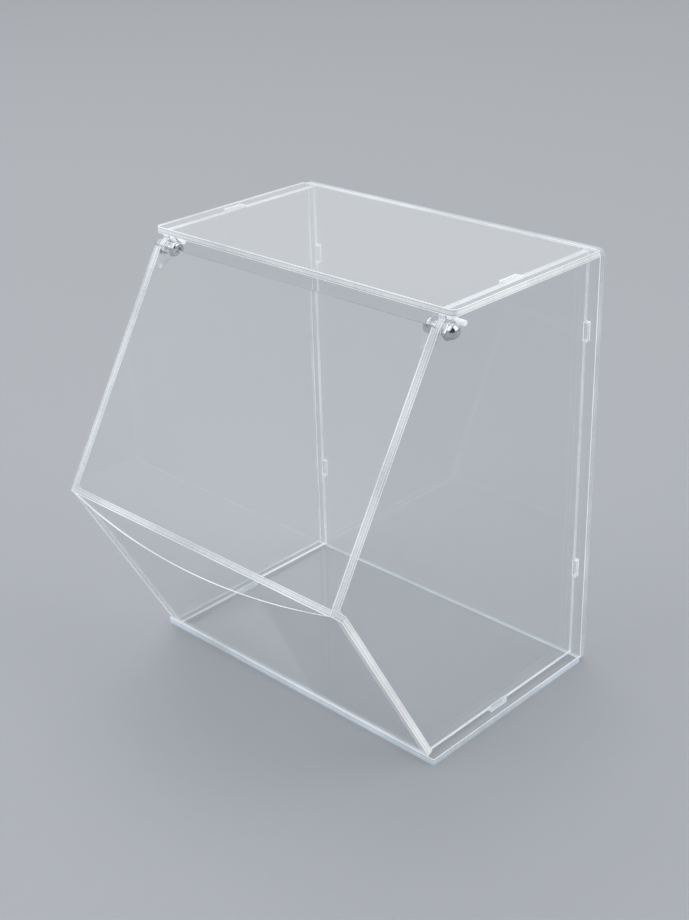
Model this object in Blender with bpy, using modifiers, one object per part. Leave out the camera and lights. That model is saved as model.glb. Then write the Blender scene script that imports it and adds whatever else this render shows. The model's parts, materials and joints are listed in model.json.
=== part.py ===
"""Clear acrylic dispenser box with a hinged front lid.

Five-sided side panels stand between a base, a back and a top plate and are
held by tabs in slots. A leaning lower front plate closes the belly of the box
and a lid hangs over its upper edge, on two ears that turn on screws with acorn
nuts. Metres, +Z up, the front faces -Y, the origin is under the middle of
the box on the surface that it stands on.
"""

import math

import bmesh
import bpy
from mathutils import Vector

# Sheet stock and outer sizes
SHEET = 0.003
HEIGHT = 0.200
WIDTH = 0.172
TOP_DEPTH = 0.096
BASE_DEPTH = 0.108
PANEL_INSET = 0.005
CORNER_RADIUS = 0.003
BASE_CORNER_RADIUS = 0.0008
REAR_CORNER_RADIUS = 0.0003

# Gaps: glued faces, tabs in their slots, tab ends below the outer surface
GLUE_GAP = 0.0003
SLOT_FIT = 0.0003
TAB_SHY = 0.0002

# Tabs of the side panels, their middles measured from the back, the ground and the top
TAB_LENGTH = 0.010
TOP_TAB_FROM_BACK = 0.054
BASE_TAB_FROM_BACK = 0.058
BACK_TAB_LENGTH = 0.008
LOW_BACK_TAB_HEIGHT = 0.048
HIGH_BACK_TAB_BELOW_TOP = 0.037

# Lower front plate, leaning forward from the front edge of the base
LOWER_FRONT_PAST_PANEL = 0.0025
LOWER_FRONT_LEAN = math.radians(28.9)
LOWER_FRONT_CORNER = 0.0012

# Hinge axis, along X, and the lid that hangs from it
HINGE_BEHIND_TOP_EDGE = 0.0014
HINGE_BELOW_TOP = 0.009
LID_LEAN = math.radians(31)
LID_TRAVEL = math.radians(48)
LID_SETBACK = 0.001
LID_BACK_FROM_AXIS = 0.0044
LID_TOP_BELOW_AXIS = 0.0005
LID_SHORT_OF_NOSE = 0.0005
LID_LIP = 0.0092
LID_CORNER = 0.0015
LID_REST_GAP = 0.0003

# Ears glued behind the lid, with a toe that meets the stop peg when open
EAR_GAP = 0.0003
EAR_ROUND = 0.004
EAR_TOE_REACH = 0.0049
EAR_TOE_ROUND = 0.0007
EAR_TOE_ANGLE = math.radians(84.6)
EAR_FOOT_TOP = 0.0015
EAR_FOOT_LENGTH = 0.0075
EAR_FOOT_ROUND = 0.0008

# Hinge screw, its button head inside the box, and the acorn nut on the outside
SCREW_DIAMETER = 0.0039
SCREW_INTO_NUT = 0.003
SCREW_RUNNING_FIT = 0.0003
HEAD_DIAMETER = 0.007
HEAD_HEIGHT = 0.0022
HEAD_RIM = 0.0004
HEAD_CROWN_RADIUS = 0.002
SOCKET_ACROSS_FLATS = 0.0025
SOCKET_DEPTH = 0.0013
FASTENER_GAP = 0.0003
NUT_ACROSS_FLATS = 0.007
NUT_HEX_HEIGHT = 0.0024
NUT_DOME_RADIUS = 0.0033
NUT_DOME_HEIGHT = 0.0031
NUT_CHAMFER_ANGLE = math.radians(30)
NUT_CHAMFER_MARGIN = 0.0001

# Stop peg, a short dowel through each side panel behind the ear
PEG_DIAMETER = 0.0024
PEG_HOLE_FIT = 0.0003
PEG_BEHIND_AXIS = 0.0057
PEG_ABOVE_AXIS = 0.0019
PEG_OUTSIDE = 0.0045
PEG_INSIDE = 0.0028
PEG_CHAMFER = 0.0003

# Smoothness of the round shapes
ROUND_STEPS = 32
CORNER_STEPS = 6
LIP_STEPS = 28
WELD_DISTANCE = 0.000001

# Places across the box
PANEL_OUTER_X = WIDTH / 2 - PANEL_INSET
PANEL_INNER_X = PANEL_OUTER_X - SHEET
PANEL_MID_X = PANEL_OUTER_X - SHEET / 2
LOWER_FRONT_X = PANEL_OUTER_X + LOWER_FRONT_PAST_PANEL
LID_X = PANEL_OUTER_X - LID_SETBACK
EAR_OUTER_X = PANEL_INNER_X - EAR_GAP
EAR_INNER_X = EAR_OUTER_X - SHEET
HEAD_SEAT_X = EAR_INNER_X - FASTENER_GAP
NUT_SEAT_X = PANEL_OUTER_X + FASTENER_GAP
SCREW_LENGTH = NUT_SEAT_X + SCREW_INTO_NUT - HEAD_SEAT_X

# Directions in the sloping fronts: out of the lid, up the lid, up the lower plate, into it
LID_OUT = Vector((0, -math.cos(LID_LEAN), math.sin(LID_LEAN)))
LID_UP = Vector((0, math.sin(LID_LEAN), math.cos(LID_LEAN)))
LOWER_UP = Vector((0, -math.sin(LOWER_FRONT_LEAN), math.cos(LOWER_FRONT_LEAN)))
LOWER_IN = Vector((0, math.cos(LOWER_FRONT_LEAN), math.sin(LOWER_FRONT_LEAN)))

# The lower plate rises from the base until it meets the seat of the closed lid at the nose,
# and the lid's bowed lip, which hangs past the nose, is the foremost point of the box
HINGE_FROM_BACK = TOP_DEPTH - HINGE_BEHIND_TOP_EDGE
LID_SEAT = LID_BACK_FROM_AXIS - LID_REST_GAP
HINGE_RISE_FROM_FOOT = Vector((0, BASE_DEPTH - HINGE_FROM_BACK, HEIGHT - HINGE_BELOW_TOP - SHEET - GLUE_GAP))
LOWER_LENGTH = (LID_SEAT + HINGE_RISE_FROM_FOOT.dot(LID_OUT)) / LOWER_UP.dot(LID_OUT)
HINGE_RISE_FROM_NOSE = HINGE_RISE_FROM_FOOT - LOWER_UP * LOWER_LENGTH
LID_SIDE_BELOW_AXIS = HINGE_RISE_FROM_NOSE.dot(LID_UP) - LID_SHORT_OF_NOSE
LID_LIP_BELOW_AXIS = LID_SIDE_BELOW_AXIS + LID_LIP
LIP_FROM_HINGE = LID_OUT * (LID_BACK_FROM_AXIS + SHEET) - LID_UP * LID_LIP_BELOW_AXIS
DEPTH = HINGE_FROM_BACK - LIP_FROM_HINGE.y

# Places along the box, once the origin is in the middle of its depth
BACK_Y = DEPTH / 2
TOP_FRONT_Y = BACK_Y - TOP_DEPTH
BASE_FRONT_Y = BACK_Y - BASE_DEPTH
HINGE = Vector((0, BACK_Y - HINGE_FROM_BACK, HEIGHT - HINGE_BELOW_TOP))
LOWER_FOOT = HINGE - HINGE_RISE_FROM_FOOT
BACK_TAB_HEIGHTS = (LOW_BACK_TAB_HEIGHT, HEIGHT - HIGH_BACK_TAB_BELOW_TOP)


def material(name, colour, roughness, metallic, transmission):
    """A Principled material for one kind of stock."""
    made = bpy.data.materials.get(name)
    if made is None:
        made = bpy.data.materials.new(name)
        made.use_nodes = True
        shader = made.node_tree.nodes["Principled BSDF"]
        shader.inputs["Base Color"].default_value = (*colour, 1.0)
        shader.inputs["Roughness"].default_value = roughness
        shader.inputs["Metallic"].default_value = metallic
        shader.inputs["Transmission Weight"].default_value = transmission
        shader.inputs["IOR"].default_value = 1.49
    return made


def acrylic(name):
    """Clear acrylic sheet."""
    return material("acrylic_" + name, (0.93, 0.96, 0.98), 0.04, 0.0, 1.0)


def chrome(name):
    """Polished chrome plate."""
    return material("chrome_" + name, (0.80, 0.81, 0.83), 0.08, 1.0, 0.0)


def arc(centre, radius, start, end, steps):
    """Points on an arc from one angle to another, both ends included."""
    angles = [start + (end - start) * step / steps for step in range(steps + 1)]
    return [(centre[0] + radius * math.cos(a), centre[1] + radius * math.sin(a)) for a in angles]


def belt(circles, steps=CORNER_STEPS):
    """Outline of a belt pulled round circles (x, y, radius), counterclockwise."""
    normals = []
    for (x0, y0, r0), (x1, y1, r1) in zip(circles, circles[1:] + circles[:1]):
        heading = math.atan2(y1 - y0, x1 - x0)
        normals.append(heading - math.acos((r0 - r1) / math.hypot(x1 - x0, y1 - y0)))
    outline = []
    for (x, y, radius), before, after in zip(circles, normals[-1:] + normals[:-1], normals):
        turn = (after - before) % (2 * math.pi)
        outline += arc((x, y), radius, before, before + turn, steps)
    return outline


def rounded_rectangle(left, right, low, high, bottom_radius, top_radius):
    """Rectangle with one corner radius at its low side and one at its high side."""
    return belt([
        (right - bottom_radius, low + bottom_radius, bottom_radius),
        (right - top_radius, high - top_radius, top_radius),
        (left + top_radius, high - top_radius, top_radius),
        (left + bottom_radius, low + bottom_radius, bottom_radius),
    ])


def rectangle(left, right, low, high):
    """Plain rectangle, for slots."""
    return [(left, low), (right, low), (right, high), (left, high)]


def circle(x, y, radius):
    """Closed round outline, for holes."""
    return arc((x, y), radius, 0, 2 * math.pi, ROUND_STEPS)[:-1]


def flat_sheet(name, outlines, thickness):
    """Sheet piece cut from flat stock: the first outline is its edge, the others are holes."""
    curve = bpy.data.curves.new(name, "CURVE")
    curve.dimensions = "2D"
    curve.fill_mode = "BOTH"
    curve.extrude = thickness / 2
    for outline in outlines:
        spline = curve.splines.new("POLY")
        spline.points.add(len(outline) - 1)
        for point, (x, y) in zip(spline.points, outline):
            point.co = (x, y, 0, 1)
        spline.use_cyclic_u = True
    sheet = bpy.data.objects.new(name, curve)
    parts.objects.link(sheet)
    sheet.data.materials.append(acrylic(name))
    weld = sheet.modifiers.new("weld", "WELD")
    weld.merge_threshold = WELD_DISTANCE
    return sheet


def lay_flat(sheet, z_middle):
    """Keep a sheet level, its outline seen from above."""
    sheet.location = (0, 0, z_middle)


def stand_across(sheet, y_middle):
    """Stand a sheet up so that its outline reads as X and Z."""
    sheet.rotation_euler = (math.pi / 2, 0, 0)
    sheet.location = (0, y_middle, 0)


def stand_lengthwise(sheet, x_middle):
    """Stand a sheet up so that its outline reads as Y and Z."""
    sheet.rotation_euler = (math.pi / 2, 0, math.pi / 2)
    sheet.location = (x_middle, 0, 0)


def tab_slots_along_depth(tab_middle_y):
    """Two slots, left and right, for the side panels' tabs in a level plate."""
    half_width = SHEET / 2 + SLOT_FIT
    half_length = TAB_LENGTH / 2 + SLOT_FIT
    return [
        rectangle(x - half_width, x + half_width, tab_middle_y - half_length, tab_middle_y + half_length)
        for x in (-PANEL_MID_X, PANEL_MID_X)
    ]


def make_base_plate():
    """Base, with slots for the panels' lower tabs."""
    outline = rounded_rectangle(
        -WIDTH / 2, WIDTH / 2, BASE_FRONT_Y, BACK_Y - SHEET - GLUE_GAP,
        BASE_CORNER_RADIUS, REAR_CORNER_RADIUS)
    slots = tab_slots_along_depth(BACK_Y - BASE_TAB_FROM_BACK)
    lay_flat(flat_sheet("base_plate", [outline] + slots, SHEET), SHEET / 2)


def make_top_plate():
    """Top, with slots for the panels' upper tabs."""
    outline = rounded_rectangle(
        -WIDTH / 2, WIDTH / 2, TOP_FRONT_Y, BACK_Y - SHEET - GLUE_GAP, CORNER_RADIUS, REAR_CORNER_RADIUS)
    slots = tab_slots_along_depth(BACK_Y - TOP_TAB_FROM_BACK)
    lay_flat(flat_sheet("top_plate", [outline] + slots, SHEET), HEIGHT - SHEET / 2)


def make_back_plate():
    """Back, full height, with two slots on each side."""
    outline = rounded_rectangle(-WIDTH / 2, WIDTH / 2, 0, HEIGHT, CORNER_RADIUS, CORNER_RADIUS)
    half_width = SHEET / 2 + SLOT_FIT
    half_length = BACK_TAB_LENGTH / 2 + SLOT_FIT
    slots = [
        rectangle(x - half_width, x + half_width, z - half_length, z + half_length)
        for x in (-PANEL_MID_X, PANEL_MID_X)
        for z in BACK_TAB_HEIGHTS
    ]
    stand_across(flat_sheet("back_plate", [outline] + slots, SHEET), BACK_Y - SHEET / 2)


def make_lower_front_plate():
    """Lower front, leaning out from the base up to the lid."""
    outline = rounded_rectangle(
        -LOWER_FRONT_X, LOWER_FRONT_X, 0, LOWER_LENGTH, LOWER_FRONT_CORNER, LOWER_FRONT_CORNER)
    sheet = flat_sheet("lower_front_plate", [outline], SHEET)
    sheet.rotation_euler = (math.pi / 2 + LOWER_FRONT_LEAN, 0, 0)
    sheet.location = LOWER_FOOT + LOWER_IN * SHEET / 2


def panel_profile():
    """Side panel outline in Y and Z, counterclockwise seen from +X, with its tabs."""
    low = SHEET + GLUE_GAP
    high = HEIGHT - SHEET - GLUE_GAP
    rear = BACK_Y - SHEET - GLUE_GAP

    # The lower front edge lies behind the lower front plate, the upper one behind the lid
    plate_inside = LOWER_FOOT + LOWER_IN * (SHEET + GLUE_GAP)
    front_low_y = plate_inside.y - math.tan(LOWER_FRONT_LEAN) * (low - plate_inside.z)
    seat = HINGE + LID_OUT * LID_SEAT
    to_lid_seat = (seat - plate_inside).dot(LID_OUT) / LOWER_UP.dot(LID_OUT)
    nose = plate_inside + LOWER_UP * to_lid_seat

    # Above the hinge the front edge is rounded about the axis, so that the lid can swing past it
    shut = math.pi - LID_LEAN
    opened = shut - LID_TRAVEL
    front_high_y = HINGE.y + (high - HINGE.z) / math.tan(opened)

    half_tab = TAB_LENGTH / 2
    base_tab = BACK_Y - BASE_TAB_FROM_BACK
    top_tab = BACK_Y - TOP_TAB_FROM_BACK
    outline = [
        (front_low_y, low),
        (base_tab - half_tab, low), (base_tab - half_tab, TAB_SHY),
        (base_tab + half_tab, TAB_SHY), (base_tab + half_tab, low),
        (rear, low),
    ]
    for middle in BACK_TAB_HEIGHTS:
        below = middle - BACK_TAB_LENGTH / 2
        above = middle + BACK_TAB_LENGTH / 2
        outline += [(rear, below), (BACK_Y - TAB_SHY, below), (BACK_Y - TAB_SHY, above), (rear, above)]
    outline += [
        (rear, high),
        (top_tab + half_tab, high), (top_tab + half_tab, HEIGHT - TAB_SHY),
        (top_tab - half_tab, HEIGHT - TAB_SHY), (top_tab - half_tab, high),
        (front_high_y, high),
    ]
    outline += arc((HINGE.y, HINGE.z), LID_SEAT, opened, shut, CORNER_STEPS)
    outline.append((nose.y, nose.z))
    return outline


def make_side_panel(name, side):
    """Side panel with its tabs, the screw hole and the hole for the stop peg."""
    screw_hole = circle(HINGE.y, HINGE.z, SCREW_DIAMETER / 2 + SCREW_RUNNING_FIT)
    peg_hole = circle(
        HINGE.y + PEG_BEHIND_AXIS, HINGE.z + PEG_ABOVE_AXIS, PEG_DIAMETER / 2 + PEG_HOLE_FIT)
    sheet = flat_sheet(name, [panel_profile(), screw_hole, peg_hole], SHEET)
    stand_lengthwise(sheet, side * PANEL_MID_X)


def make_lid(pivot):
    """Lid with a bowed lower edge that hangs past the lower front plate as a finger lip."""
    lip_radius = (LID_X * LID_X + LID_LIP * LID_LIP) / (2 * LID_LIP)
    spread = math.asin(LID_X / lip_radius)
    lip_centre = (0, lip_radius - LID_LIP_BELOW_AXIS)
    down = -math.pi / 2
    outline = arc(lip_centre, lip_radius, down - spread, down + spread, LIP_STEPS)
    corner_x = LID_X - LID_CORNER
    corner_z = -LID_TOP_BELOW_AXIS - LID_CORNER
    outline += arc((corner_x, corner_z), LID_CORNER, 0, math.pi / 2, CORNER_STEPS)
    outline += arc((-corner_x, corner_z), LID_CORNER, math.pi / 2, math.pi, CORNER_STEPS)
    lid = flat_sheet("lid", [outline], SHEET)
    lid.parent = pivot
    lid.rotation_euler = (math.pi / 2, 0, 0)
    lid.location = (0, -LID_BACK_FROM_AXIS - SHEET / 2, 0)


def make_ear(name, side, pivot):
    """Ear that carries the lid on its screw, drawn in the lid's own frame."""
    toe_angle = EAR_TOE_ANGLE + LID_LEAN
    face = -LID_BACK_FROM_AXIS + GLUE_GAP
    outline = belt([
        (face + EAR_FOOT_ROUND, -EAR_FOOT_TOP - EAR_FOOT_LENGTH, EAR_FOOT_ROUND),
        (0, 0, EAR_ROUND),
        (EAR_TOE_REACH * math.cos(toe_angle), EAR_TOE_REACH * math.sin(toe_angle), EAR_TOE_ROUND),
        (face + EAR_FOOT_ROUND, -EAR_FOOT_TOP, EAR_FOOT_ROUND),
    ], steps=CORNER_STEPS * 2)
    hole = circle(0, 0, SCREW_DIAMETER / 2 + SCREW_RUNNING_FIT)
    ear = flat_sheet(name, [outline, hole], SHEET)
    ear.parent = pivot
    ear.rotation_euler = (math.pi / 2, 0, math.pi / 2)
    ear.location = (side * (EAR_OUTER_X + EAR_INNER_X) / 2, 0, 0)


def turned(name, profile, collection):
    """Solid of revolution about its own Z, from a profile that runs down its outer side."""
    mesh = bpy.data.meshes.new(name)
    mesh.from_pydata([(radius, 0, height) for radius, height in profile],
                     [(i, i + 1) for i in range(len(profile) - 1)], [])
    made = bpy.data.objects.new(name, mesh)
    collection.objects.link(made)
    spin = made.modifiers.new("turn", "SCREW")
    spin.axis = "Z"
    spin.steps = ROUND_STEPS
    spin.render_steps = ROUND_STEPS
    spin.use_merge_vertices = True
    spin.merge_threshold = WELD_DISTANCE
    return made


def hexagonal_cutter(name, across_flats, length):
    """Six-sided bar about its own Z, centred."""
    mesh = bpy.data.meshes.new(name)
    shape = bmesh.new()
    bmesh.ops.create_cone(
        shape, cap_ends=True, segments=6, radius1=across_flats / math.sqrt(3),
        radius2=across_flats / math.sqrt(3), depth=length)
    shape.to_mesh(mesh)
    shape.free()
    made = bpy.data.objects.new(name, mesh)
    cutters.objects.link(made)
    made.hide_render = True
    made.display_type = "WIRE"
    return made


def cut(target, cutter, operation):
    """Boolean with a cutter that moves with its target."""
    cutter.parent = target
    step = target.modifiers.new(operation.lower(), "BOOLEAN")
    step.operation = operation
    step.object = cutter
    step.solver = "EXACT"


def smooth(target):
    """Shaded smooth, with normals that follow the larger faces."""
    target.data.shade_smooth()
    split = target.modifiers.new("weighted", "WEIGHTED_NORMAL")
    split.keep_sharp = True


def place_along_x(target, x, side):
    """Turn a piece's own Z outwards along X and put its origin on the hinge axis."""
    target.rotation_euler = (0, side * math.pi / 2, 0)
    target.location = (x, HINGE.y, HINGE.z)


def make_screw(name, side):
    """Button head screw: domed head with a hexagon socket, and its shank."""
    head_radius = HEAD_DIAMETER / 2
    dome_height = HEAD_HEIGHT - HEAD_RIM
    dome = [
        (HEAD_CROWN_RADIUS + (head_radius - HEAD_CROWN_RADIUS) * math.sin(a),
         HEAD_RIM + dome_height * math.cos(a))
        for a in [math.pi / 2 * step / CORNER_STEPS for step in range(CORNER_STEPS + 1)]
    ]
    shank = SCREW_DIAMETER / 2
    profile = [(0, HEAD_HEIGHT)] + dome + [(head_radius, 0), (shank, 0), (shank, -SCREW_LENGTH),
                                           (0, -SCREW_LENGTH)]
    screw = turned(name, profile, parts)
    socket = hexagonal_cutter(name + "_socket", SOCKET_ACROSS_FLATS, SOCKET_DEPTH * 2)
    socket.location = (0, 0, HEAD_HEIGHT)
    cut(screw, socket, "DIFFERENCE")
    screw.data.materials.append(chrome(name))
    place_along_x(screw, side * HEAD_SEAT_X, -side)
    smooth(screw)


def make_nut(name, side):
    """Low acorn nut on the outside, its open end against the side panel."""
    outside = NUT_ACROSS_FLATS / math.sqrt(3) + NUT_CHAMFER_MARGIN
    crown = NUT_ACROSS_FLATS / 2 - NUT_CHAMFER_MARGIN
    chamfer = (outside - crown) * math.tan(NUT_CHAMFER_ANGLE)
    thread = SCREW_DIAMETER / 2 + SCREW_RUNNING_FIT
    bottom_of_thread = SCREW_INTO_NUT + FASTENER_GAP
    dome = [
        (NUT_DOME_RADIUS * math.sin(a), NUT_HEX_HEIGHT + NUT_DOME_HEIGHT * math.cos(a))
        for a in [math.pi / 2 * step / CORNER_STEPS for step in range(CORNER_STEPS + 1)]
    ]
    profile = dome + [
        (crown, NUT_HEX_HEIGHT), (outside, NUT_HEX_HEIGHT - chamfer), (outside, chamfer), (crown, 0),
        (thread, 0), (thread, bottom_of_thread), (0, bottom_of_thread)]
    nut = turned(name, profile, parts)
    bar = hexagonal_cutter(name + "_hexagon", NUT_ACROSS_FLATS, 4 * NUT_HEX_HEIGHT)
    bar.location = (0, 0, NUT_HEX_HEIGHT)
    cut(nut, bar, "INTERSECT")
    nut.data.materials.append(chrome(name))
    place_along_x(nut, side * NUT_SEAT_X, side)
    smooth(nut)


def make_stop_peg(name, side):
    """Dowel through the side panel that stops the ear's toe when the lid is open."""
    radius = PEG_DIAMETER / 2
    length = PEG_OUTSIDE + SHEET + PEG_INSIDE
    profile = [(0, length), (radius - PEG_CHAMFER, length), (radius, length - PEG_CHAMFER),
               (radius, PEG_CHAMFER), (radius - PEG_CHAMFER, 0), (0, 0)]
    peg = turned(name, profile, parts)
    peg.data.materials.append(acrylic(name))
    place_along_x(peg, side * (PANEL_INNER_X - PEG_INSIDE), side)
    peg.location.y += PEG_BEHIND_AXIS
    peg.location.z += PEG_ABOVE_AXIS
    smooth(peg)


for old in list(bpy.data.objects):
    bpy.data.objects.remove(old, do_unlink=True)

parts = bpy.data.collections.new("dispenser_box")
cutters = bpy.data.collections.new("cutters")
bpy.context.scene.collection.children.link(parts)
bpy.context.scene.collection.children.link(cutters)

make_base_plate()
make_back_plate()
make_top_plate()
make_lower_front_plate()

lid_pivot = bpy.data.objects.new("lid_pivot", None)
lid_pivot.location = HINGE
lid_pivot.rotation_euler = (-LID_LEAN, 0, 0)
parts.objects.link(lid_pivot)
make_lid(lid_pivot)

for label, direction in (("left", -1), ("right", 1)):
    make_side_panel(label + "_side_panel", direction)
    make_ear(label + "_lid_ear", direction, lid_pivot)
    make_screw(label + "_hinge_screw", direction)
    make_nut(label + "_acorn_nut", direction)
    make_stop_peg(label + "_stop_peg", direction)
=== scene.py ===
import json
import math

import bpy
from mathutils import Matrix, Vector

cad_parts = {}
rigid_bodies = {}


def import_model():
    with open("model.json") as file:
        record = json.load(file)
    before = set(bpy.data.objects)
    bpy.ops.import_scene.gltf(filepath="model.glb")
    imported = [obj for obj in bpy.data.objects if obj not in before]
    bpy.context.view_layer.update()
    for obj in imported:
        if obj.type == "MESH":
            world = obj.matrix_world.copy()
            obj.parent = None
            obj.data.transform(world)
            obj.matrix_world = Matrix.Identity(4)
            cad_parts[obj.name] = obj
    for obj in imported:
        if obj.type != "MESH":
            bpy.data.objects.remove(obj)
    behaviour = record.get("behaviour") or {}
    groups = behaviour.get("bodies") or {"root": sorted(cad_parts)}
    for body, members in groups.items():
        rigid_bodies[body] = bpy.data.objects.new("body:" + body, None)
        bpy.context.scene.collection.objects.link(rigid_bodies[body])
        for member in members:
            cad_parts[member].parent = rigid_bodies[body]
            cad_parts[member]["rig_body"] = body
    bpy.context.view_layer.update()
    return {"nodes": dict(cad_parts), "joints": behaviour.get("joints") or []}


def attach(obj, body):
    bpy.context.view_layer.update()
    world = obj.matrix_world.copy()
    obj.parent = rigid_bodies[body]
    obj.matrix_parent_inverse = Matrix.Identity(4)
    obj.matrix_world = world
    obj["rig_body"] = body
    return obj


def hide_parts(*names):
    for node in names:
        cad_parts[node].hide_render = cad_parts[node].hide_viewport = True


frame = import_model()

# Camera, fitted to the corners of the plates in a frame of 689 by 920
CAMERA_PLACE = Vector((0.41108, -0.40482, 0.38567))
CAMERA_AZIMUTH = math.radians(44.462)
CAMERA_ELEVATION = math.radians(25.813)
CAMERA_ROLL = math.radians(-1.733)
SENSOR_HEIGHT = 36.0
LENS = 57.185

# Solids taken over as meshes: points this near are one, and faces that turn less are one
SAME_POINT = 0.000002
FLAT_TURN = math.radians(0.5)

# Sheet stock, its rounded arrises, and facets small enough to belong to a rounded corner
SHEET = 0.003
SHEET_BEVEL = 0.00024
SHARP_EDGE = math.radians(30)
CORNER_FACET = 20e-6

# How squarely a polygon looks along a direction to count as facing it
FACING = 0.9
FACING_THROUGH = 0.99

# Material slots of a sheet: the polished face has the first
EDGE_SLOT = 1
BEVEL_SLOT = 2

# Polished faces, their wipe marks, and what lamplight loses in them; the ears hardly bend light
ACRYLIC_IOR = 1.49
EAR_IOR = 1.06
CLEAR_COLOUR = (0.975, 0.985, 0.99, 1)
LAMPLIGHT_TINT = (0.93, 0.945, 0.955, 1)
WIPE_SCALE = 14.0
WIPE_RANGE = (0.45, 0.8)
WIPE_ROUGHNESS = 0.035

# Cut edges given a painted glow for the light they gather: how much of their tint they give off, in
# the band and along its arrises, there as a brighter painted highlight; tints of the arrises, of the
# painted highlight on sheet ends, and of the stop pegs
EDGE_GLOW = 0.85
ARRIS_GLOW = 1.35
ARRIS_TINT = (0.43, 0.44, 0.45)
END_HIGHLIGHT_TINT = (0.40, 0.41, 0.42)
PEG_TINT = (0.50, 0.52, 0.54)

# Cut edges' pattern: fine lines through the sheet, mixed with slow changes, each place's shade
EDGE_CLEARNESS = 0.1
LINE_STRETCH = 14
LINE_SCALE = 2600.0
SLOW_SCALE = 26.0
SLOW_SHARE = 0.6
DARK_PLACE, DARK_SHADE = 0.36, 0.82
PALE_PLACE, PALE_SHADE = 0.6, 1.12
EDGE_ROUGHNESS = (0.25, 0.5)
LINE_BUMP = 0.25
LINE_DEPTH = 0.00005

# Streaks along a cut edge, from one face of the sheet to the other: place and brightness
STREAKS = ((0.11, 1.12), (0.17, 0.70), (0.25, 0.72), (0.32, 1.0), (0.50, 0.93),
           (0.68, 1.0), (0.75, 0.76), (0.83, 0.74), (0.90, 1.12))

# Slopes of the two fronts, from upright, and the hinge axis
LID_LEAN = math.radians(31)
LOWER_FRONT_LEAN = math.radians(28.9)
HINGE = Vector(frame["joints"][0]["pos_m"])

# The lid's upper end, beside the hinge axis, in painted shade: a darker tint and a weaker glow than
# its other cut edges
LID_UP = Vector((0, math.sin(LID_LEAN), math.cos(LID_LEAN)))
LID_TOP_BAND = 0.0012
LID_TOP_SHADE_TINT = (0.29, 0.30, 0.315)
LID_TOP_GLOW = 0.5

# Each sheet's turn about X from lying level, none for the upright sides, and its edges' tint, set
# lighter or darker sheet by sheet as painted light and shade
ACROSS = Vector((1, 0, 0))
SHEETS = {
    "base_plate": (0, (0.37, 0.42, 0.47)),
    "top_plate": (0, (0.46, 0.48, 0.50)),
    "back_plate": (math.radians(90), (0.36, 0.38, 0.41)),
    "lower_front_plate": (math.radians(-90) + LOWER_FRONT_LEAN, (0.40, 0.42, 0.44)),
    "left_side_panel": (None, (0.44, 0.46, 0.49)),
    "right_side_panel": (None, (0.44, 0.46, 0.49)),
    "lid": (math.radians(90) - LID_LEAN, (0.48, 0.50, 0.52)),
}

# Sheets whose left and right ends get a painted highlight, brighter than their other edges
PAINTED_HIGHLIGHT_ENDED = ("lower_front_plate", "top_plate")

# Acorn nuts on the outside
NUT_SEAT_X = 0.0813
NUT_ACROSS_FLATS = 0.007
NUT_HEX_HEIGHT = 0.0024
NUT_CHAMFER = 0.00031
NUT_CROWN_SCALE = 0.866
NUT_DOME_RADIUS = 0.0033
NUT_DOME_HEIGHT = 0.0031
NUT_THREAD_DEPTH = 0.0033

# Button head screws, their heads inside the box; spare turns of thread are cut off at each end
HEAD_SEAT_X = 0.0744
HEAD_RADIUS = 0.0035
HEAD_RIM = 0.0004
HEAD_HEIGHT = 0.0022
HEAD_CROWN_RADIUS = 0.002
SOCKET_ACROSS_FLATS = 0.0025
SOCKET_DEPTH = 0.0013
SHANK_RADIUS = 0.00195
SHANK_LENGTH = 0.0099
THREAD_DEPTH = 0.0003
THREAD_PITCH = 0.0007
SPARE_TURNS = 2
RUNNING_FIT = 0.00025

# Stop pegs
PEG_RADIUS = 0.0012
PEG_LENGTH = 0.0103
PEG_START_X = 0.0752
PEG_BEHIND_AXIS = 0.0057
PEG_ABOVE_AXIS = 0.0019
PEG_CHAMFER = 0.0003

# Fasteners and pegs: steps around, steps up the crown of a screw's head, and softened edges
FINE_STEPS = 96
CROWN_STEPS = 8
PEG_CHAMFER_STEPS = 3
METAL_BEVEL = 0.00012
BEVEL_STEPS = 2

# Chrome with hairline wear
CHROME_COLOUR = (0.66, 0.67, 0.70, 1)
WEAR_SCALE = 900.0
WEAR_ROUGHNESS = (0.03, 0.14)

# Studio air: its colour at the horizon, a third of the way up and overhead
AIR_STRENGTH = 0.92
HORIZON_AIR = (0.36, 0.37, 0.385, 1)
BRIGHT_AIR = (0.98, 0.99, 1.0, 1)
BRIGHT_AIR_PLACE = 0.32
OVERHEAD_AIR = (0.80, 0.82, 0.85, 1)

# Dark corner of the studio, which gives the chrome its contrast: direction, and where it fades
DARK_CORNER = (0.63, -0.643, 0.435)
DARK_CORNER_FADE = (0.62, 0.84)
DARK_AIR = (0.06, 0.065, 0.075, 1)

# Pale floor, just below the base
FLOOR_SIZE = 16.0
FLOOR_HEIGHT = -0.0002
FLOOR_COLOUR = (0.43, 0.447, 0.472, 1)
FLOOR_ROUGHNESS = 0.55

# Lamps: name, watts, size and place; all look at the same point in the box
LAMPS = (
    ("softbox_above_left", 8.5, 2.2, (-1.1, 0.25, 1.95)),
    ("softbox_front", 13.0, 2.2, (-0.1, -1.6, 1.9)),
    ("softbox_right", 9.0, 2.0, (1.5, 0.7, 1.6)),
)
LAMP_TARGET = Vector((0, 0, 0.1))


def deselect():
    """Nothing selected, so that operators act only on the piece in hand."""
    bpy.ops.object.select_all(action="DESELECT")
    bpy.context.view_layer.objects.active = None


def take_up(piece):
    """Only this piece selected, and active."""
    deselect()
    piece.select_set(True)
    bpy.context.view_layer.objects.active = piece


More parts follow.
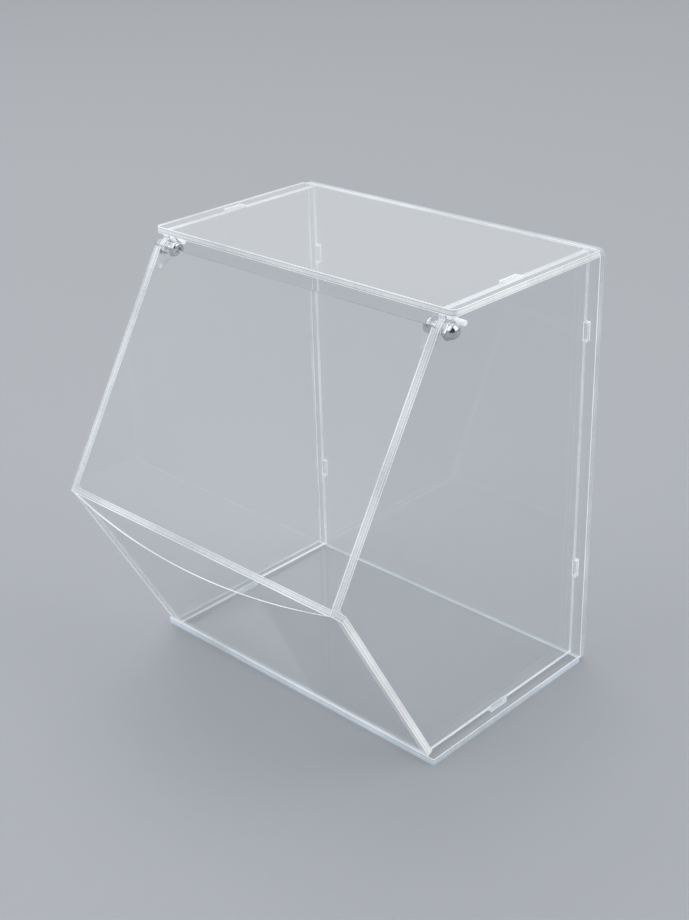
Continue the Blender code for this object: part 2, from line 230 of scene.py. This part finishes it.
def take_solid(node, name):
    """A new piece with a node's shape, its loose triangles merged into whole flat faces."""
    mesh = frame["nodes"][node].data.copy()
    mesh.name = name
    mesh.materials.clear()
    piece = bpy.data.objects.new(name, mesh)
    bpy.context.scene.collection.objects.link(piece)
    take_up(piece)
    bpy.ops.object.mode_set(mode="EDIT")
    bpy.ops.mesh.select_all(action="SELECT")
    bpy.ops.mesh.remove_doubles(threshold=SAME_POINT)
    bpy.ops.mesh.dissolve_limited(angle_limit=FLAT_TURN)
    bpy.ops.object.mode_set(mode="OBJECT")
    return piece


def soften(piece, width):
    """Sharp edges rounded by a small bevel, whose faces get the material slot of BEVEL_SLOT."""
    bevel = piece.modifiers.new("soft_edges", "BEVEL")
    bevel.width = width
    bevel.segments = BEVEL_STEPS
    bevel.limit_method = "ANGLE"
    bevel.angle_limit = SHARP_EDGE
    bevel.material = BEVEL_SLOT
    bpy.ops.object.modifier_apply(modifier=bevel.name)


def through_direction(turn):
    """The direction through a sheet, from its turn about X, or across the box where it has none."""
    if turn is None:
        return ACROSS
    return Vector((0, -math.sin(turn), math.cos(turn)))


def finish_sheet(piece, through, face, edge, arris):
    """Faces polished and flat, cut edges bright with a painted glow, and only the rounded parts shaded
    smooth.
    """
    for finish in (face, edge, arris):
        piece.data.materials.append(finish)
    for polygon in piece.data.polygons:
        if abs(polygon.normal.dot(through)) < FACING_THROUGH:
            polygon.material_index = EDGE_SLOT
            polygon.use_smooth = polygon.area < CORNER_FACET
    soften(piece, SHEET_BEVEL)
    for polygon in piece.data.polygons:
        if polygon.material_index == BEVEL_SLOT:
            polygon.use_smooth = True


def middle_through(piece, through):
    """Place of a sheet's middle, measured along the direction through it."""
    reach = [vertex.co.dot(through) for vertex in piece.data.vertices]
    return (min(reach) + max(reach)) / 2


def refinish(sheet, finish, wanted):
    """The polygons that the test accepts given a finish of their own."""
    sheet.data.materials.append(finish)
    for polygon in sheet.data.polygons:
        if wanted(polygon):
            polygon.material_index = len(sheet.data.materials) - 1


def is_sheet_end(polygon):
    """Cut edge at the left or right end of a sheet."""
    return polygon.material_index == EDGE_SLOT and abs(polygon.normal.x) > FACING


def is_lid_top(polygon):
    """Part of the lid's upper end."""
    return (polygon.center - HINGE).dot(LID_UP) > -LID_TOP_BAND


def settle(piece, node):
    """The piece stands for its node and moves with the node's body."""
    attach(piece, frame["nodes"][node]["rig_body"])
    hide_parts(node)


class Finish:
    """A material and short ways to add and join its nodes."""

    def __init__(self, name):
        self.material = bpy.data.materials.new(name)
        self.material.use_nodes = True
        self.shader = self.own_node("Principled BSDF")
        self.output = self.own_node("Material Output")

    def own_node(self, name):
        """A node that every new material starts with."""
        return self.material.node_tree.nodes[name]

    def add(self, kind, inputs=(), **settings):
        """A new node, with values for its inputs and its settings."""
        made = self.material.node_tree.nodes.new("ShaderNode" + kind)
        for key, value in settings.items():
            setattr(made, key, value)
        for key, value in dict(inputs).items():
            made.inputs[key].default_value = value
        return made

    def join(self, source, target):
        """One node's output led to another's input."""
        self.material.node_tree.links.new(source, target)

    def let_lamps_through(self, tint):
        """Lamps shine through the piece, a little dimmed, as they do through clear sheet."""
        path = self.add("LightPath")
        clear = self.add("BsdfTransparent", {"Color": tint})
        mix = self.add("MixShader")
        self.join(path.outputs["Is Shadow Ray"], mix.inputs[0])
        self.join(self.shader.outputs[0], mix.inputs[1])
        self.join(clear.outputs[0], mix.inputs[2])
        self.join(mix.outputs[0], self.output.inputs["Surface"])


def clear_finish(name, ior, coat):
    """Polished clear acrylic, with faint wipe marks in its gloss."""
    finish = Finish(name)
    shader = finish.shader
    shader.inputs["Base Color"].default_value = CLEAR_COLOUR
    shader.inputs["Transmission Weight"].default_value = 1
    shader.inputs["IOR"].default_value = ior
    shader.inputs["Coat Weight"].default_value = coat
    place = finish.add("TexCoord")
    wipe = finish.add("TexNoise", {
        "Scale": WIPE_SCALE, "Detail": 4.0, "Roughness": 0.6, "Distortion": 0.8})
    gloss = finish.add("MapRange", {
        "From Min": WIPE_RANGE[0], "From Max": WIPE_RANGE[1], "To Min": 0.0, "To Max": WIPE_ROUGHNESS})
    finish.join(place.outputs["Object"], wipe.inputs["Vector"])
    finish.join(wipe.outputs["Fac"], gloss.inputs["Value"])
    finish.join(gloss.outputs["Result"], shader.inputs["Roughness"])
    finish.let_lamps_through(LAMPLIGHT_TINT)
    return finish.material


def streak(finish, place, colour, through, middle):
    """A cut edge's colour with its streaks, which run along the edge."""
    depth = finish.add("VectorMath", operation="DOT_PRODUCT")
    depth.inputs[1].default_value = through
    share = finish.add("MapRange", {
        "From Min": middle - SHEET / 2, "From Max": middle + SHEET / 2})
    bands = finish.add("ValToRGB")
    for place_across, level in STREAKS:
        stop = bands.color_ramp.elements.new(place_across)
        stop.color = (level, level, level, 1)
    outer = STREAKS[0][1]
    for end in (bands.color_ramp.elements[0], bands.color_ramp.elements[-1]):
        end.color = (outer, outer, outer, 1)
    streaked = finish.add("Mix", {"Factor": 1.0}, data_type="RGBA", blend_type="MULTIPLY")
    finish.join(place.outputs["Object"], depth.inputs[0])
    finish.join(depth.outputs["Value"], share.inputs["Value"])
    finish.join(share.outputs["Result"], bands.inputs["Fac"])
    finish.join(colour, streaked.inputs["A"])
    finish.join(bands.outputs["Color"], streaked.inputs["B"])
    return streaked.outputs["Result"]


def cut_edge_finish(name, turn, tint, glow, middle=None):
    """Laser-cut edge, bright with a painted glow in its own tint, with fine lines through the sheet
    and, round its middle, streaks.
    """
    finish = Finish(name)
    shader = finish.shader
    shader.inputs["IOR"].default_value = ACRYLIC_IOR
    shader.inputs["Transmission Weight"].default_value = EDGE_CLEARNESS
    # Painted glow: the edge gives off its own colour, as strong as glow says
    shader.inputs["Emission Strength"].default_value = glow
    place = finish.add("TexCoord")
    along = finish.add("Mapping", vector_type="TEXTURE")
    if turn is None:
        along.inputs["Scale"].default_value = (LINE_STRETCH, 1, 1)
    else:
        along.inputs["Scale"].default_value = (1, 1, LINE_STRETCH)
        along.inputs["Rotation"].default_value = (turn, 0, 0)
    lines = finish.add("TexNoise", {"Scale": LINE_SCALE, "Detail": 2.0, "Roughness": 0.6})
    slow = finish.add("TexNoise", {"Scale": SLOW_SCALE, "Detail": 2.0, "Roughness": 0.5})
    blend = finish.add("Mix", {"Factor": SLOW_SHARE}, data_type="FLOAT")
    tone = finish.add("ValToRGB")
    dark, pale = tone.color_ramp.elements
    dark.position = DARK_PLACE
    dark.color = (*(DARK_SHADE * part for part in tint), 1)
    pale.position = PALE_PLACE
    pale.color = (*(PALE_SHADE * part for part in tint), 1)
    colour = tone.outputs["Color"]
    if middle is not None:
        colour = streak(finish, place, colour, through_direction(turn), middle)
    gloss = finish.add("MapRange", {"To Min": EDGE_ROUGHNESS[0], "To Max": EDGE_ROUGHNESS[1]})
    relief = finish.add("Bump", {"Strength": LINE_BUMP, "Distance": LINE_DEPTH})
    finish.join(place.outputs["Object"], along.inputs["Vector"])
    finish.join(along.outputs["Vector"], lines.inputs["Vector"])
    finish.join(place.outputs["Object"], slow.inputs["Vector"])
    finish.join(lines.outputs["Fac"], blend.inputs["A"])
    finish.join(slow.outputs["Fac"], blend.inputs["B"])
    finish.join(blend.outputs["Result"], tone.inputs["Fac"])
    finish.join(colour, shader.inputs["Base Color"])
    finish.join(colour, shader.inputs["Emission Color"])
    finish.join(lines.outputs["Fac"], gloss.inputs["Value"])
    finish.join(gloss.outputs["Result"], shader.inputs["Roughness"])
    finish.join(lines.outputs["Fac"], relief.inputs["Height"])
    finish.join(relief.outputs["Normal"], shader.inputs["Normal"])
    return finish.material


def chrome_finish():
    """Polished chrome with hairline wear."""
    finish = Finish("polished_chrome")
    shader = finish.shader
    shader.inputs["Base Color"].default_value = CHROME_COLOUR
    shader.inputs["Metallic"].default_value = 1
    place = finish.add("TexCoord")
    wear = finish.add("TexNoise", {"Scale": WEAR_SCALE, "Detail": 4.0})
    gloss = finish.add("MapRange", {"To Min": WEAR_ROUGHNESS[0], "To Max": WEAR_ROUGHNESS[1]})
    finish.join(place.outputs["Object"], wear.inputs["Vector"])
    finish.join(wear.outputs["Fac"], gloss.inputs["Value"])
    finish.join(gloss.outputs["Result"], shader.inputs["Roughness"])
    return finish.material


def pick(piece, wanted):
    """In edit mode with exactly the faces selected that the test accepts."""
    bpy.ops.object.mode_set(mode="EDIT")
    bpy.ops.mesh.select_mode(type="FACE")
    bpy.ops.mesh.select_all(action="DESELECT")
    bpy.ops.object.mode_set(mode="OBJECT")
    for polygon in piece.data.polygons:
        polygon.select = wanted(polygon)
    bpy.ops.object.mode_set(mode="EDIT")


def add_bar(name, sides, radius, low, high):
    """A closed bar about Z, from one height to another."""
    deselect()
    bpy.ops.mesh.primitive_cylinder_add(
        vertices=sides, radius=radius, depth=high - low, location=(0, 0, (low + high) / 2))
    bpy.ops.object.transform_apply(location=True)
    bar = bpy.context.object
    bar.name = name
    bar.data.name = name
    return bar


def raise_top(height, scale):
    """The selected top face extruded upwards and drawn in, about the Z axis."""
    bpy.ops.mesh.extrude_region_move(TRANSFORM_OT_translate={"value": (0, 0, height)})
    bpy.ops.transform.resize(value=(scale, scale, 1), center_override=(0, 0, 0))


def combine(piece, tool, operation):
    """One solid with another added, cut out or kept in common, the other then removed."""
    step = piece.modifiers.new("combine", "BOOLEAN")
    step.operation = operation
    step.solver = "EXACT"
    step.object = tool
    take_up(piece)
    bpy.ops.object.modifier_apply(modifier=step.name)
    bpy.data.objects.remove(tool, do_unlink=True)


def hexagon_radius(across_flats):
    """Distance from the middle of a hexagon to its corners."""
    return across_flats / math.sqrt(3)


def polish(piece, finish):
    """Edges softened, round faces smooth, one finish all over."""
    piece.data.materials.clear()
    for slot in range(BEVEL_SLOT + 1):
        piece.data.materials.append(finish)
    soften(piece, METAL_BEVEL)
    bpy.ops.object.shade_smooth_by_angle(angle=SHARP_EDGE)


def model_acorn_nut(name):
    """Low acorn nut standing on its open end: chamfered hexagon, dome and bore."""
    corner = hexagon_radius(NUT_ACROSS_FLATS)
    nut = add_bar(name, FINE_STEPS, corner * NUT_CROWN_SCALE, 0, NUT_CHAMFER)
    pick(nut, lambda polygon: polygon.normal.z > FACING)
    bpy.ops.transform.resize(
        value=(1 / NUT_CROWN_SCALE, 1 / NUT_CROWN_SCALE, 1), center_override=(0, 0, 0))
    raise_top(NUT_HEX_HEIGHT - 2 * NUT_CHAMFER, 1)
    raise_top(NUT_CHAMFER, NUT_CROWN_SCALE)
    bpy.ops.object.mode_set(mode="OBJECT")
    combine(nut, add_bar("hexagon", 6, corner, -NUT_HEX_HEIGHT, 2 * NUT_HEX_HEIGHT), "INTERSECT")
    deselect()
    bpy.ops.mesh.primitive_uv_sphere_add(
        segments=FINE_STEPS, ring_count=FINE_STEPS // 2, radius=NUT_DOME_RADIUS)
    dome = bpy.context.object
    bpy.ops.object.mode_set(mode="EDIT")
    bpy.ops.mesh.select_all(action="SELECT")
    bpy.ops.transform.resize(
        value=(1, 1, NUT_DOME_HEIGHT / NUT_DOME_RADIUS), center_override=(0, 0, 0))
    bpy.ops.transform.translate(value=(0, 0, NUT_HEX_HEIGHT))
    bpy.ops.mesh.bisect(
        plane_co=(0, 0, NUT_HEX_HEIGHT / 2), plane_no=(0, 0, 1), use_fill=True, clear_inner=True)
    bpy.ops.object.mode_set(mode="OBJECT")
    combine(nut, dome, "UNION")
    bore_radius = SHANK_RADIUS + RUNNING_FIT
    bore = add_bar("bore", FINE_STEPS, bore_radius, -NUT_HEX_HEIGHT, NUT_THREAD_DEPTH)
    combine(nut, bore, "DIFFERENCE")
    return nut


def model_thread(name):
    """Threaded shank below the seat: one turn of ridge drawn round and down, then cut to length."""
    ridge = bpy.data.meshes.new(name)
    lowest = -SHANK_LENGTH - SPARE_TURNS * THREAD_PITCH
    root = SHANK_RADIUS - THREAD_DEPTH
    profile = [(root, 0, lowest), (SHANK_RADIUS, 0, lowest + THREAD_PITCH / 2),
               (root, 0, lowest + THREAD_PITCH)]
    ridge.from_pydata(profile, [(0, 1), (1, 2)], [])
    thread = bpy.data.objects.new(name, ridge)
    bpy.context.scene.collection.objects.link(thread)
    take_up(thread)
    turns = thread.modifiers.new("turns", "SCREW")
    turns.steps = turns.render_steps = FINE_STEPS // 2
    turns.screw_offset = THREAD_PITCH
    turns.iterations = math.ceil(SHANK_LENGTH / THREAD_PITCH) + 2 * SPARE_TURNS
    bpy.ops.object.modifier_apply(modifier=turns.name)
    bpy.ops.object.mode_set(mode="EDIT")
    bpy.ops.mesh.select_all(action="SELECT")
    bpy.ops.mesh.remove_doubles(threshold=SAME_POINT)
    bpy.ops.mesh.select_mode(type="EDGE")
    bpy.ops.mesh.select_all(action="DESELECT")
    bpy.ops.mesh.select_non_manifold()
    bpy.ops.mesh.fill_holes(sides=0)
    bpy.ops.mesh.select_all(action="SELECT")
    bpy.ops.mesh.normals_make_consistent(inside=False)
    bpy.ops.object.mode_set(mode="OBJECT")
    shank = add_bar("shank_length", FINE_STEPS, SHANK_RADIUS * 2, -SHANK_LENGTH, HEAD_RIM / 2)
    combine(thread, shank, "INTERSECT")
    return thread


def model_button_screw(name):
    """Button head screw with its seat at the origin: domed head, hexagon socket, threaded shank."""
    screw = add_bar(name, FINE_STEPS, HEAD_RADIUS, 0, HEAD_RIM)
    pick(screw, lambda polygon: polygon.normal.z > FACING)
    radius = HEAD_RADIUS
    height = HEAD_RIM
    for step in range(1, CROWN_STEPS + 1):
        turn = math.pi / 2 * step / CROWN_STEPS
        next_radius = HEAD_CROWN_RADIUS + (HEAD_RADIUS - HEAD_CROWN_RADIUS) * math.cos(turn)
        next_height = HEAD_RIM + (HEAD_HEIGHT - HEAD_RIM) * math.sin(turn)
        raise_top(next_height - height, next_radius / radius)
        radius, height = next_radius, next_height
    bpy.ops.object.mode_set(mode="OBJECT")
    socket = add_bar("socket", 6, hexagon_radius(SOCKET_ACROSS_FLATS),
                     HEAD_HEIGHT - SOCKET_DEPTH, 2 * HEAD_HEIGHT)
    combine(screw, socket, "DIFFERENCE")
    combine(screw, model_thread("thread"), "UNION")
    return screw


def model_stop_peg(name):
    """Short round dowel with softened ends."""
    peg = add_bar(name, FINE_STEPS // 2, PEG_RADIUS, 0, PEG_LENGTH)
    pick(peg, lambda polygon: abs(polygon.normal.z) > FACING)
    bpy.ops.mesh.select_mode(type="EDGE")
    bpy.ops.mesh.region_to_loop()
    bpy.ops.mesh.bevel(offset=PEG_CHAMFER, segments=PEG_CHAMFER_STEPS)
    bpy.ops.object.mode_set(mode="OBJECT")
    return peg


def set_in_place(piece, place, side):
    """A piece turned so that its own Z points along X, outwards or inwards, and put in its place."""
    take_up(piece)
    piece.rotation_euler = (0, side * math.pi / 2, 0)
    piece.location = place
    bpy.ops.object.transform_apply(location=True, rotation=True, scale=True)


def place_camera():
    """Camera at the photograph's viewing angle, turned a little about its own axis."""
    data = bpy.data.cameras.new("front_right_camera")
    data.sensor_fit = "VERTICAL"
    data.sensor_height = SENSOR_HEIGHT
    data.lens = LENS
    camera = bpy.data.objects.new("front_right_camera", data)
    bpy.context.scene.collection.objects.link(camera)
    forward = Vector((-math.sin(CAMERA_AZIMUTH) * math.cos(CAMERA_ELEVATION),
                      math.cos(CAMERA_AZIMUTH) * math.cos(CAMERA_ELEVATION),
                      -math.sin(CAMERA_ELEVATION)))
    level = Vector((math.cos(CAMERA_AZIMUTH), math.sin(CAMERA_AZIMUTH), 0))
    above = level.cross(forward)
    right = level * math.cos(CAMERA_ROLL) + above * math.sin(CAMERA_ROLL)
    up = above * math.cos(CAMERA_ROLL) - level * math.sin(CAMERA_ROLL)
    turned = Matrix((right, up, -forward)).transposed().to_4x4()
    camera.matrix_world = Matrix.Translation(CAMERA_PLACE) @ turned
    bpy.context.scene.camera = camera


def fill_studio_air():
    """Soft light from all round, with a dark corner that the camera sees only in reflections."""
    world = bpy.data.worlds.new("studio_air")
    bpy.context.scene.world = world
    world.use_nodes = True
    nodes = world.node_tree.nodes
    join = world.node_tree.links.new

    def work_out(operation):
        made = nodes.new("ShaderNodeMath")
        made.operation = operation
        return made

    direction = nodes.new("ShaderNodeTexCoord")
    split = nodes.new("ShaderNodeSeparateXYZ")
    fade = nodes.new("ShaderNodeValToRGB")
    fade.color_ramp.elements[0].color = HORIZON_AIR
    fade.color_ramp.elements[1].color = OVERHEAD_AIR
    fade.color_ramp.elements.new(BRIGHT_AIR_PLACE).color = BRIGHT_AIR
    toward_corner = nodes.new("ShaderNodeVectorMath")
    toward_corner.operation = "DOT_PRODUCT"
    toward_corner.inputs[1].default_value = DARK_CORNER
    dark_share = nodes.new("ShaderNodeMapRange")
    dark_share.inputs["From Min"].default_value = DARK_CORNER_FADE[0]
    dark_share.inputs["From Max"].default_value = DARK_CORNER_FADE[1]
    path = nodes.new("ShaderNodeLightPath")
    seen = work_out("MAXIMUM")
    kept = work_out("SUBTRACT")
    kept.inputs[0].default_value = 1.0
    reflected = work_out("MULTIPLY")
    darken = nodes.new("ShaderNodeMix")
    darken.data_type = "RGBA"
    darken.inputs["B"].default_value = DARK_AIR
    join(direction.outputs["Generated"], split.inputs[0])
    join(split.outputs["Z"], fade.inputs["Fac"])
    join(direction.outputs["Generated"], toward_corner.inputs[0])
    join(toward_corner.outputs["Value"], dark_share.inputs["Value"])
    join(path.outputs["Is Camera Ray"], seen.inputs[0])
    join(path.outputs["Is Transmission Ray"], seen.inputs[1])
    join(seen.outputs[0], kept.inputs[1])
    join(dark_share.outputs["Result"], reflected.inputs[0])
    join(kept.outputs[0], reflected.inputs[1])
    join(reflected.outputs[0], darken.inputs["Factor"])
    join(fade.outputs["Color"], darken.inputs["A"])
    join(darken.outputs["Result"], nodes["Background"].inputs["Color"])
    nodes["Background"].inputs["Strength"].default_value = AIR_STRENGTH


def lay_floor():
    """Plain pale floor."""
    bpy.ops.mesh.primitive_plane_add(size=FLOOR_SIZE, location=(0, 0, FLOOR_HEIGHT))
    floor = bpy.context.object
    floor.name = "studio_floor"
    paint = Finish("studio_floor_paint")
    paint.shader.inputs["Base Color"].default_value = FLOOR_COLOUR
    paint.shader.inputs["Roughness"].default_value = FLOOR_ROUGHNESS
    floor.data.materials.append(paint.material)


def hang_lamps():
    """Large soft lamps that look at the box."""
    for name, watts, size, place in LAMPS:
        softbox = bpy.data.lights.new(name, "AREA")
        softbox.energy = watts
        softbox.size = size
        lamp = bpy.data.objects.new(name, softbox)
        lamp.location = place
        lamp.rotation_euler = (LAMP_TARGET - lamp.location).to_track_quat("-Z", "Y").to_euler()
        bpy.context.scene.collection.objects.link(lamp)


deselect()
face = clear_finish("sheet_face", ACRYLIC_IOR, 0)
ear_face = clear_finish("ear_face", EAR_IOR, 1)
# Arrises glow brighter than the rest of a cut edge, a painted highlight; the frosted stop pegs get the
# cut edges' painted glow
arris = cut_edge_finish("cut_edge_arris", None, ARRIS_TINT, ARRIS_GLOW)
frosted_painted_glow = cut_edge_finish("frosted_stop_peg_painted_glow", None, PEG_TINT, EDGE_GLOW)
chrome = chrome_finish()

for node, (turn, tint) in SHEETS.items():
    sheet = take_solid(node, node + "_sheet")
    middle = middle_through(sheet, through_direction(turn))
    # Each sheet's cut edges, in its own tint, with painted glow and streaks
    edge = cut_edge_finish("cut_edge_of_" + node, turn, tint, EDGE_GLOW, middle)
    finish_sheet(sheet, through_direction(turn), face, edge, arris)
    # Painted highlight on the left and right ends: their own tint and a stronger glow
    if node in PAINTED_HIGHLIGHT_ENDED:
        end_highlight = cut_edge_finish("painted_highlight_ends_of_" + node, turn, END_HIGHLIGHT_TINT, ARRIS_GLOW, middle)
        refinish(sheet, end_highlight, is_sheet_end)
    # The lid's upper end gets painted shade, darker than its other cut edges
    if node == "lid":
        shaded_lid_top = cut_edge_finish("lid_top_end_painted_shade", turn, LID_TOP_SHADE_TINT, LID_TOP_GLOW)
        refinish(sheet, shaded_lid_top, is_lid_top)
    settle(sheet, node)

for label, side in (("left", -1), ("right", 1)):
    ear = take_solid(label + "_lid_ear", label + "_lid_ear_sheet")
    finish_sheet(ear, ACROSS, ear_face, ear_face, ear_face)
    settle(ear, label + "_lid_ear")

    nut = model_acorn_nut(label + "_chrome_acorn_nut")
    set_in_place(nut, (side * NUT_SEAT_X, HINGE.y, HINGE.z), side)
    polish(nut, chrome)
    settle(nut, label + "_acorn_nut")

    screw = model_button_screw(label + "_chrome_button_screw")
    set_in_place(screw, (side * HEAD_SEAT_X, HINGE.y, HINGE.z), -side)
    polish(screw, chrome)
    settle(screw, label + "_hinge_screw")

    peg = model_stop_peg(label + "_clear_stop_peg")
    peg_place = (side * PEG_START_X, HINGE.y + PEG_BEHIND_AXIS, HINGE.z + PEG_ABOVE_AXIS)
    set_in_place(peg, peg_place, side)
    polish(peg, frosted_painted_glow)
    settle(peg, label + "_stop_peg")

place_camera()
fill_studio_air()
lay_floor()
hang_lamps()
bpy.context.scene.view_settings.view_transform = "Standard"
